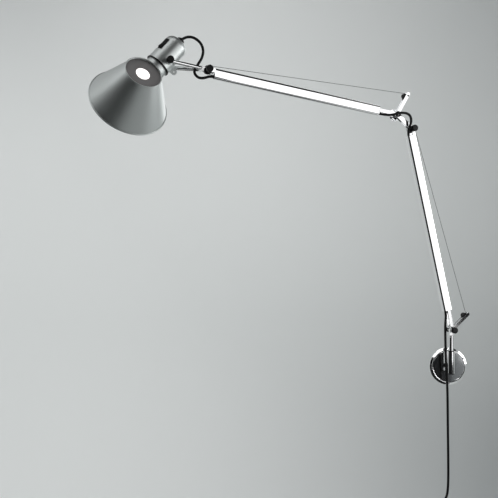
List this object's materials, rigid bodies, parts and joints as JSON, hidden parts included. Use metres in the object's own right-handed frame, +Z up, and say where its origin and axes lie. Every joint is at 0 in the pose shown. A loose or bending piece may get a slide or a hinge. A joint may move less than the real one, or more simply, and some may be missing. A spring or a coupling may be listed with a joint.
{
  "type": "articulating wall lamp",
  "caption": "Wall lamp with a round bracket, swivelling stem, spring-balanced jointed arms, forked yoke and a conical shade turning on its lampholder.",
  "frame": {"origin": "centre of the wall plate's back face, on the wall plane", "axes": "+Y into the wall (the lamp is at negative Y), +Z up, +X to the right of someone facing the wall"},
  "size_m": [0.8624, 0.363, 1.3176],
  "materials": {
    "polished": "polished aluminium",
    "satin": "satin anodised aluminium",
    "chrome": "chromed steel",
    "steel": "plain steel",
    "black": "matte black plastic",
    "cable": "black round cable sheath",
    "baffle_dark": "dark grey paint",
    "opal": "translucent white",
    "bulb_glass": "frosted glass",
    "ceramic": "white moulded lampholder"
  },
  "bodies": {
    "wall_bracket": {"wall_plate": "steel", "plate_cover": "polished", "bracket_screws": "steel", "socket_tube": "polished", "socket_bush": "black", "end_plug": "black"},
    "stem_group": {"stem": "polished", "stem_lever": "polished", "stem_anchor": "black", "shoulder_pin": "steel", "stem_fasteners": "black", "hanging_cord": "cable", "cord_hank": "cable", "hank_tie": "black", "mains_plug": "black"},
    "shoulder_knob_body": {"shoulder_knob": "black"},
    "lower_arm": {"lower_arm_tube": "polished", "lower_foot_fork": "polished", "lower_head_fork": "polished", "lower_spring": "steel", "lower_arm_cable": "cable", "lower_wire": "steel", "tail_cable": "cable", "elbow_pin": "steel"},
    "lower_roller_body": {"lower_roller": "black"},
    "knuckle": {"knuckle_plates": "polished", "knuckle_anchor": "black", "knee_pin": "steel", "knee_disc": "polished", "knuckle_fasteners": "black", "elbow_cable": "cable"},
    "elbow_knob_body": {"elbow_knob": "black"},
    "upper_arm": {"upper_arm_tube": "polished", "upper_foot_fork": "polished", "upper_head_fork": "polished", "upper_spring": "steel", "upper_arm_cable": "cable", "upper_wire": "steel", "knee_cable": "cable", "wrist_pin": "steel", "wrist_nut": "black"},
    "upper_roller_body": {"upper_roller": "black"},
    "yoke_group": {"yoke": "polished", "wrist_cable": "cable"},
    "wrist_knob_body": {"wrist_knob": "black"},
    "lampholder": {"collar": "satin", "housing": "satin", "gland": "black", "switch_body": "black", "lamp_socket": "ceramic", "bulb": "bulb_glass", "tilt_pins": "steel", "head_cable": "cable"},
    "tilt_knob_body": {"tilt_knob": "black"},
    "rocker_body": {"rocker": "black"},
    "shade_head": {"roll_ring": "black", "shade": "satin", "baffle": "baffle_dark", "window": "opal", "handle_rod": "chrome"}
  },
  "joints": [
    {"name": "stem_swivel", "type": "hinge", "parent": "wall_bracket", "child": "stem_group", "pos_m": [0, -0.032, 0], "axis": [0, 0, 1], "range_deg": [-15, 155]},
    {"name": "shoulder", "type": "hinge", "parent": "stem_group", "child": "lower_arm", "pos_m": [0, -0.032, 0.092], "axis": [0.342, -0.9397, 0], "range_deg": [-25, 80], "deforming": ["lower_wire", "tail_cable"]},
    {"name": "elbow", "type": "hinge", "parent": "lower_arm", "child": "knuckle", "pos_m": [-0.10403, -0.06986, 0.56936], "axis": [0.342, -0.9397, 0], "range_deg": [-40, 40], "deforming": ["elbow_cable"]},
    {"name": "knee", "type": "hinge", "parent": "knuckle", "child": "upper_arm", "pos_m": [-0.14271, -0.08394, 0.60015], "axis": [-0.342, 0.9397, 0], "range_deg": [-65, 50], "deforming": ["upper_wire", "knee_cable"]},
    {"name": "wrist", "type": "hinge", "parent": "upper_arm", "child": "yoke_group", "pos_m": [-0.5738, -0.24085, 0.6665], "axis": [0.342, -0.9397, 0], "range_deg": [-50, 50], "deforming": ["wrist_cable"]},
    {"name": "head_tilt", "type": "hinge", "parent": "yoke_group", "child": "lampholder", "pos_m": [-0.65987, -0.27217, 0.6709], "axis": [0.342, -0.9397, 0], "range_deg": [-30, 45], "deforming": ["head_cable"]},
    {"name": "shade_turn", "type": "hinge", "parent": "lampholder", "child": "shade_head", "pos_m": [-0.66696, -0.27475, 0.67746], "axis": [0.6165, 0.2244, 0.7547], "range_deg": [-150, 150]},
    {"name": "lower_roller_spin", "type": "hinge", "parent": "lower_arm", "child": "lower_roller_body", "pos_m": [-0.10403, -0.06986, 0.56936], "axis": [0.342, -0.9397, 0], "range_deg": [-357.6, 113.1]},
    {"name": "upper_roller_spin", "type": "hinge", "parent": "upper_arm", "child": "upper_roller_body", "pos_m": [-0.5738, -0.24085, 0.6665], "axis": [0.342, -0.9397, 0], "range_deg": [-290.9, 224.2]},
    {"name": "shoulder_knob_turn", "type": "hinge", "parent": "stem_group", "child": "shoulder_knob_body", "pos_m": [0, -0.032, 0.092], "axis": [0.342, -0.9397, 0], "range_deg": [-45, 360]},
    {"name": "elbow_knob_turn", "type": "hinge", "parent": "lower_arm", "child": "elbow_knob_body", "pos_m": [-0.10403, -0.06986, 0.56936], "axis": [0.342, -0.9397, 0], "range_deg": [-45, 360]},
    {"name": "wrist_knob_turn", "type": "hinge", "parent": "upper_arm", "child": "wrist_knob_body", "pos_m": [-0.5738, -0.24085, 0.6665], "axis": [0.342, -0.9397, 0], "range_deg": [-45, 360]},
    {"name": "tilt_knob_turn", "type": "hinge", "parent": "lampholder", "child": "tilt_knob_body", "pos_m": [-0.65987, -0.27217, 0.6709], "axis": [0.342, -0.9397, 0], "range_deg": [-45, 360]},
    {"name": "switch_rocker", "type": "hinge", "parent": "lampholder", "child": "rocker_body", "pos_m": [-0.66205, -0.28717, 0.70921], "axis": [0.6731, -0.6475, -0.3573], "range_deg": [0, 10]}
  ],
  "couplings": [
    {"joint": "lower_roller_spin", "follows": "shoulder", "ratio": -4.4444},
    {"joint": "upper_roller_spin", "follows": "knee", "ratio": 4.4444}
  ]
}
